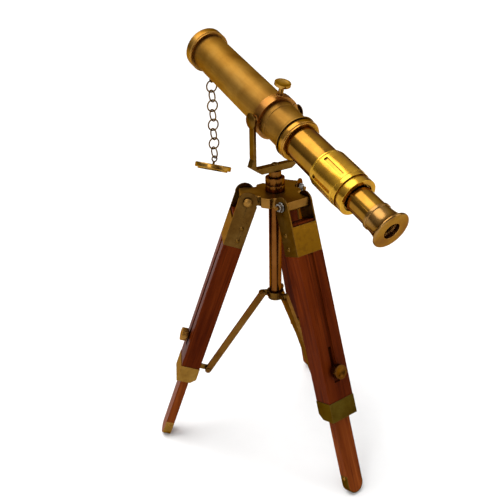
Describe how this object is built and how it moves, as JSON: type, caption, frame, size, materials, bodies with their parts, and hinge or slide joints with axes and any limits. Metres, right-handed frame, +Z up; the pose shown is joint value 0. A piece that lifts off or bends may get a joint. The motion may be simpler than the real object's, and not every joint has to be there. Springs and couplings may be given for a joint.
{
  "type": "tabletop telescope",
  "caption": "Small brass telescope with draw tubes and a hanging chained lens cap, on a swivelling yoke and a folding wooden tripod with sliding lower legs.",
  "frame": {"origin": "on the table top, in the plane of the feet, under the axis of the centre column", "axes": "+Z up along the column; the telescope points along +Y and upward; +X is to the right of someone looking through the eyepiece"},
  "size_m": [0.1953, 0.2516, 0.3604],
  "materials": {
    "aged_brass": "aged satin",
    "bright_brass": "polished",
    "olive_brass": "dull tarnished",
    "copper_brass": "warm tarnished, semi-gloss",
    "steel": "plain",
    "wood": "dark varnish",
    "glass": "clear",
    "bronze": "dark patina",
    "blackened": "matt black"
  },
  "bodies": {
    "tripod_head": {"head_plate": "aged_brass", "hinge_bolts": "bright_brass", "hinge_nuts": "steel", "swivel_socket": "copper_brass", "centre_column": "aged_brass", "column_stop": "olive_brass"},
    "swivel": {"swivel_stem": "copper_brass", "yoke": "olive_brass", "yoke_screw": "bronze", "trunnion_screws": "olive_brass", "trunnion_washers": "bright_brass"},
    "clamp": {"clamp_collar": "aged_brass"},
    "clamp_thumbscrew": {"clamp_screw": "bright_brass"},
    "barrel": {"main_barrel": "aged_brass", "objective_ring": "bright_brass", "objective_cell": "blackened", "objective_lens": "glass", "rear_ring": "bright_brass", "chain_eye": "bronze"},
    "draw": {"draw_tube": "aged_brass", "focus_sleeve": "bright_brass", "sleeve_end_ring": "bright_brass"},
    "eyepiece": {"eyepiece_tube": "aged_brass", "eye_cup": "bright_brass", "eye_lens": "glass"},
    "chain_top": {"chain_upper": "bronze"},
    "chain_bottom": {"chain_lower": "bronze"},
    "cap": {"lens_cap": "bright_brass", "cap_loop": "bronze"},
    "hub": {"spreader_hub": "olive_brass"},
    "leg_rear": {"leg_bracket_rear": "olive_brass", "bracket_rivets_rear": "bright_brass", "upper_leg_rear": "wood", "lower_ferrule_rear": "olive_brass", "strut_tab_rear": "olive_brass"},
    "foot_rear": {"lower_leg_rear": "wood", "foot_strip_rear": "olive_brass", "foot_rivet_rear": "bright_brass"},
    "knob_rear": {"leg_knob_rear": "bright_brass"},
    "brace_rear": {"strut_rear": "aged_brass"},
    "leg_left": {"leg_bracket_left": "olive_brass", "bracket_rivets_left": "bright_brass", "upper_leg_left": "wood", "lower_ferrule_left": "olive_brass", "strut_tab_left": "olive_brass"},
    "foot_left": {"lower_leg_left": "wood", "foot_strip_left": "olive_brass", "foot_rivet_left": "bright_brass"},
    "knob_left": {"leg_knob_left": "bright_brass"},
    "brace_left": {"strut_left": "aged_brass"},
    "leg_right": {"leg_bracket_right": "olive_brass", "bracket_rivets_right": "bright_brass", "upper_leg_right": "wood", "lower_ferrule_right": "olive_brass", "strut_tab_right": "olive_brass"},
    "foot_right": {"lower_leg_right": "wood", "foot_strip_right": "olive_brass", "foot_rivet_right": "bright_brass"},
    "knob_right": {"leg_knob_right": "bright_brass"},
    "brace_right": {"strut_right": "aged_brass"}
  },
  "joints": [
    {"name": "swivel_turn", "type": "hinge", "parent": "tripod_head", "child": "swivel", "pos_m": [0, 0, 0.2404], "axis": [0, 0, 1], "continuous": true},
    {"name": "telescope_tilt", "type": "hinge", "parent": "swivel", "child": "clamp", "pos_m": [0, 0, 0.302], "axis": [1, 0, 0], "range_deg": [-25, 24]},
    {"name": "clamp_screw_turn", "type": "hinge", "parent": "clamp", "child": "clamp_thumbscrew", "pos_m": [0, -0.01075, 0.33001], "axis": [0, -0.3584, 0.9336], "range_deg": [0, 720]},
    {"name": "barrel_slide", "type": "slide", "parent": "clamp", "child": "barrel", "axis": [0, 0.9336, 0.3584], "range_m": [-0.045, 0.005]},
    {"name": "draw_slide", "type": "slide", "parent": "barrel", "child": "draw", "axis": [0, 0.9336, 0.3584], "range_m": [-0.04, 0.031]},
    {"name": "eyepiece_slide", "type": "slide", "parent": "draw", "child": "eyepiece", "axis": [0, 0.9336, 0.3584], "range_m": [-0.035, 0.019]},
    {"name": "chain_swing", "type": "hinge", "parent": "barrel", "child": "chain_top", "pos_m": [0, 0.0978, 0.31561], "axis": [-1, 0, 0], "range_deg": [-35, 30]},
    {"name": "chain_bend", "type": "hinge", "parent": "chain_top", "child": "chain_bottom", "pos_m": [0, 0.0978, 0.27891], "axis": [0, 1, 0], "range_deg": [-35, 35]},
    {"name": "cap_swing", "type": "hinge", "parent": "chain_bottom", "child": "cap", "pos_m": [0, 0.0978, 0.24371], "axis": [0, -1, 0], "range_deg": [-30, 30]},
    {"name": "hub_slide", "type": "slide", "parent": "tripod_head", "child": "hub", "axis": [0, 0, 1], "range_m": [0, 0.0145]},
    {"name": "leg_rear_fold", "type": "hinge", "parent": "tripod_head", "child": "leg_rear", "pos_m": [0.00126, -0.02397, 0.236], "axis": [0.9986, 0.0523, 0], "range_deg": [0, 19.5]},
    {"name": "brace_rear_turn", "type": "hinge", "parent": "leg_rear", "child": "brace_rear", "pos_m": [0.00329, -0.06275, 0.06941], "axis": [0.9986, 0.0523, 0], "range_deg": [0, 20.5]},
    {"name": "foot_rear_slide", "type": "slide", "parent": "leg_rear", "child": "foot_rear", "axis": [0.0175, -0.3333, -0.9426], "range_m": [-0.049, 0.032]},
    {"name": "knob_rear_turn", "type": "hinge", "parent": "leg_rear", "child": "knob_rear", "pos_m": [0.00429, -0.08193, 0.10804], "axis": [0.0493, -0.9413, 0.3338], "range_deg": [0, 720]},
    {"name": "leg_left_fold", "type": "hinge", "parent": "tripod_head", "child": "leg_left", "pos_m": [-0.02138, 0.0109, 0.236], "axis": [-0.454, -0.891, 0], "range_deg": [0, 19.6]},
    {"name": "brace_left_turn", "type": "hinge", "parent": "leg_left", "child": "brace_left", "pos_m": [-0.05599, 0.02853, 0.06941], "axis": [-0.454, -0.891, 0], "range_deg": [0, 20.5]},
    {"name": "foot_left_slide", "type": "slide", "parent": "leg_left", "child": "foot_left", "axis": [-0.2974, 0.1515, -0.9426], "range_m": [-0.049, 0.032]},
    {"name": "knob_left_turn", "type": "hinge", "parent": "leg_left", "child": "knob_left", "pos_m": [-0.0731, 0.03725, 0.10804], "axis": [-0.8399, 0.4279, 0.3338], "range_deg": [0, 720]},
    {"name": "leg_right_fold", "type": "hinge", "parent": "tripod_head", "child": "leg_right", "pos_m": [0.02013, 0.01307, 0.236], "axis": [-0.5446, 0.8387, 0], "range_deg": [0, 19.6]},
    {"name": "brace_right_turn", "type": "hinge", "parent": "leg_right", "child": "brace_right", "pos_m": [0.0527, 0.03422, 0.06941], "axis": [-0.5446, 0.8387, 0], "range_deg": [0, 20.5]},
    {"name": "foot_right_slide", "type": "slide", "parent": "leg_right", "child": "foot_right", "axis": [0.28, 0.1818, -0.9426], "range_m": [-0.049, 0.032]},
    {"name": "knob_right_turn", "type": "hinge", "parent": "leg_right", "child": "knob_right", "pos_m": [0.06881, 0.04469, 0.10804], "axis": [0.7906, 0.5134, 0.3338], "range_deg": [0, 720]}
  ],
  "couplings": [
    {"joint": "brace_rear_turn", "follows": "leg_rear_fold", "ratio": 0.9656},
    {"joint": "leg_left_fold", "follows": "leg_rear_fold", "ratio": 1},
    {"joint": "brace_left_turn", "follows": "leg_rear_fold", "ratio": 0.9656},
    {"joint": "leg_right_fold", "follows": "leg_rear_fold", "ratio": 1},
    {"joint": "brace_right_turn", "follows": "leg_rear_fold", "ratio": 0.9656},
    {"joint": "hub_slide", "follows": "leg_rear_fold", "m_per_rad": 0.034749}
  ]
}
